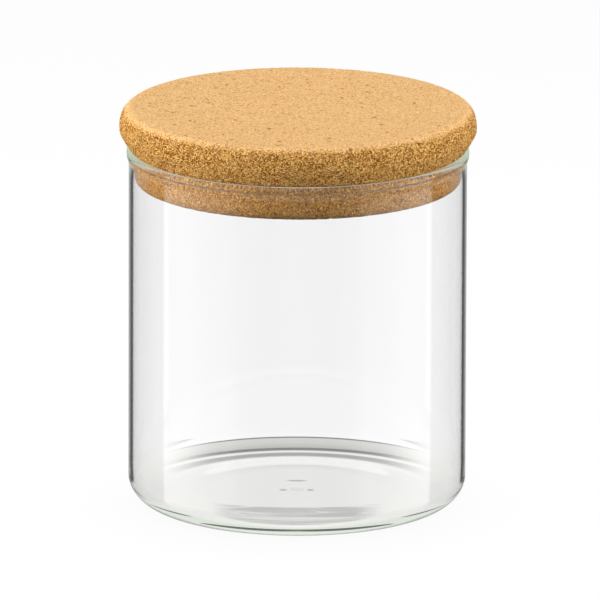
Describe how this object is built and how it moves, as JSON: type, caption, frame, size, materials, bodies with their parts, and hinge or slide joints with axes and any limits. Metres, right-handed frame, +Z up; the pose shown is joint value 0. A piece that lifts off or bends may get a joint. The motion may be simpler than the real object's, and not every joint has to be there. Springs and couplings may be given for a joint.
{
  "type": "glass jar with cork lid",
  "caption": "Straight clear glass storage jar with a rounded heel, a beaded rim and a turned cork lid whose plug fits in the mouth.",
  "frame": {"origin": "centre of the foot ring, on the surface the jar stands on", "axes": "+Z up along the jar's own axis, from the foot to the lid; the object is round, so X and Y are any two level directions, and the picture looks along +Y"},
  "size_m": [0.1056, 0.1056, 0.1196],
  "materials": {
    "clear_glass": "clear, fire-polished borosilicate glass",
    "cork": "sanded pressed cork, matt and unsealed"
  },
  "bodies": {
    "jar": {"glass_jar": "clear_glass"},
    "lid": {"cork_lid": "cork"}
  },
  "joints": [
    {"name": "lid_lift", "type": "slide", "parent": "jar", "child": "lid", "axis": [0, 0, 1], "range_m": [0, 0.12]}
  ]
}
